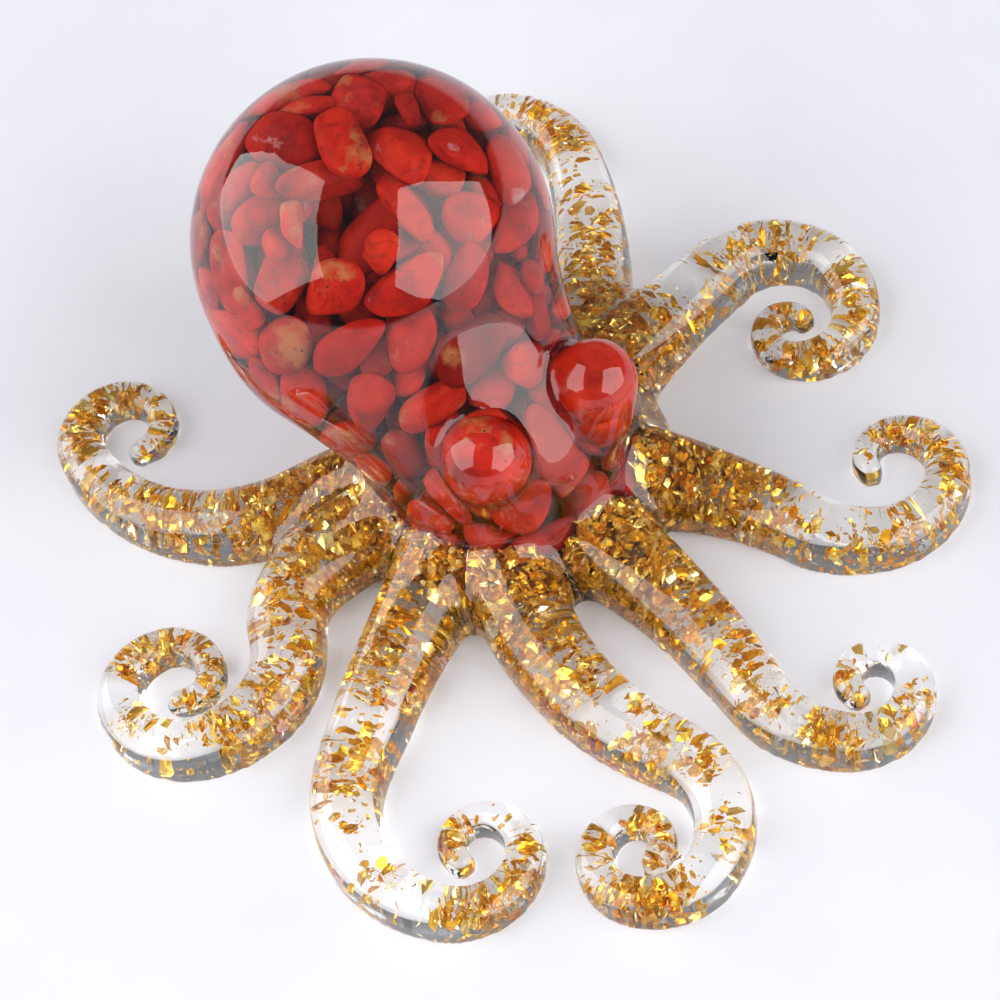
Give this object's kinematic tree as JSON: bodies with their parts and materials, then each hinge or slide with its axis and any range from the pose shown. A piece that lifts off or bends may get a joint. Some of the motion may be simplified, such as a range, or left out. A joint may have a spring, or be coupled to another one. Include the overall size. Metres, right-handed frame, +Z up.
{
  "type": "octopus figurine",
  "caption": "Small clear-resin octopus ornament: round head filled with red stone chips, domed eyes, and curled arms flecked with gold leaf on a flat base.",
  "frame": {"origin": "under the middle of the hub, on the flat base that the figurine rests on", "axes": "+Z up, the face looks along -Y, +X is to the right of a viewer who looks at the face"},
  "size_m": [0.1183, 0.122, 0.0565],
  "materials": {
    "head_resin": "clear cast resin, polished",
    "arm_resin": "clear cast resin, polished",
    "jasper": "tumbled red jasper, polished",
    "gold_leaf": "crumpled imitation gold leaf"
  },
  "bodies": {
    "root": {"core_chips": "jasper", "crown_chips": "jasper", "face_chips": "jasper", "front_arm": "arm_resin", "front_arm_gold_leaf": "gold_leaf", "front_left_arm": "arm_resin", "front_left_arm_gold_leaf": "gold_leaf", "hub": "arm_resin", "hub_gold_leaf": "gold_leaf", "inner_chips": "jasper", "left_arm": "arm_resin", "left_arm_gold_leaf": "gold_leaf", "left_eye_chip": "jasper", "left_front_arm": "arm_resin", "left_front_arm_gold_leaf": "gold_leaf", "left_rear_arm": "arm_resin", "left_rear_arm_gold_leaf": "gold_leaf", "lower_head_chips": "jasper", "mantle": "head_resin", "neck_chips": "jasper", "right_arm": "arm_resin", "right_arm_gold_leaf": "gold_leaf", "right_eye_chip": "jasper", "right_front_arm": "arm_resin", "right_front_arm_gold_leaf": "gold_leaf", "right_rear_arm": "arm_resin", "right_rear_arm_gold_leaf": "gold_leaf", "upper_head_chips": "jasper"}
  },
  "joints": []
}
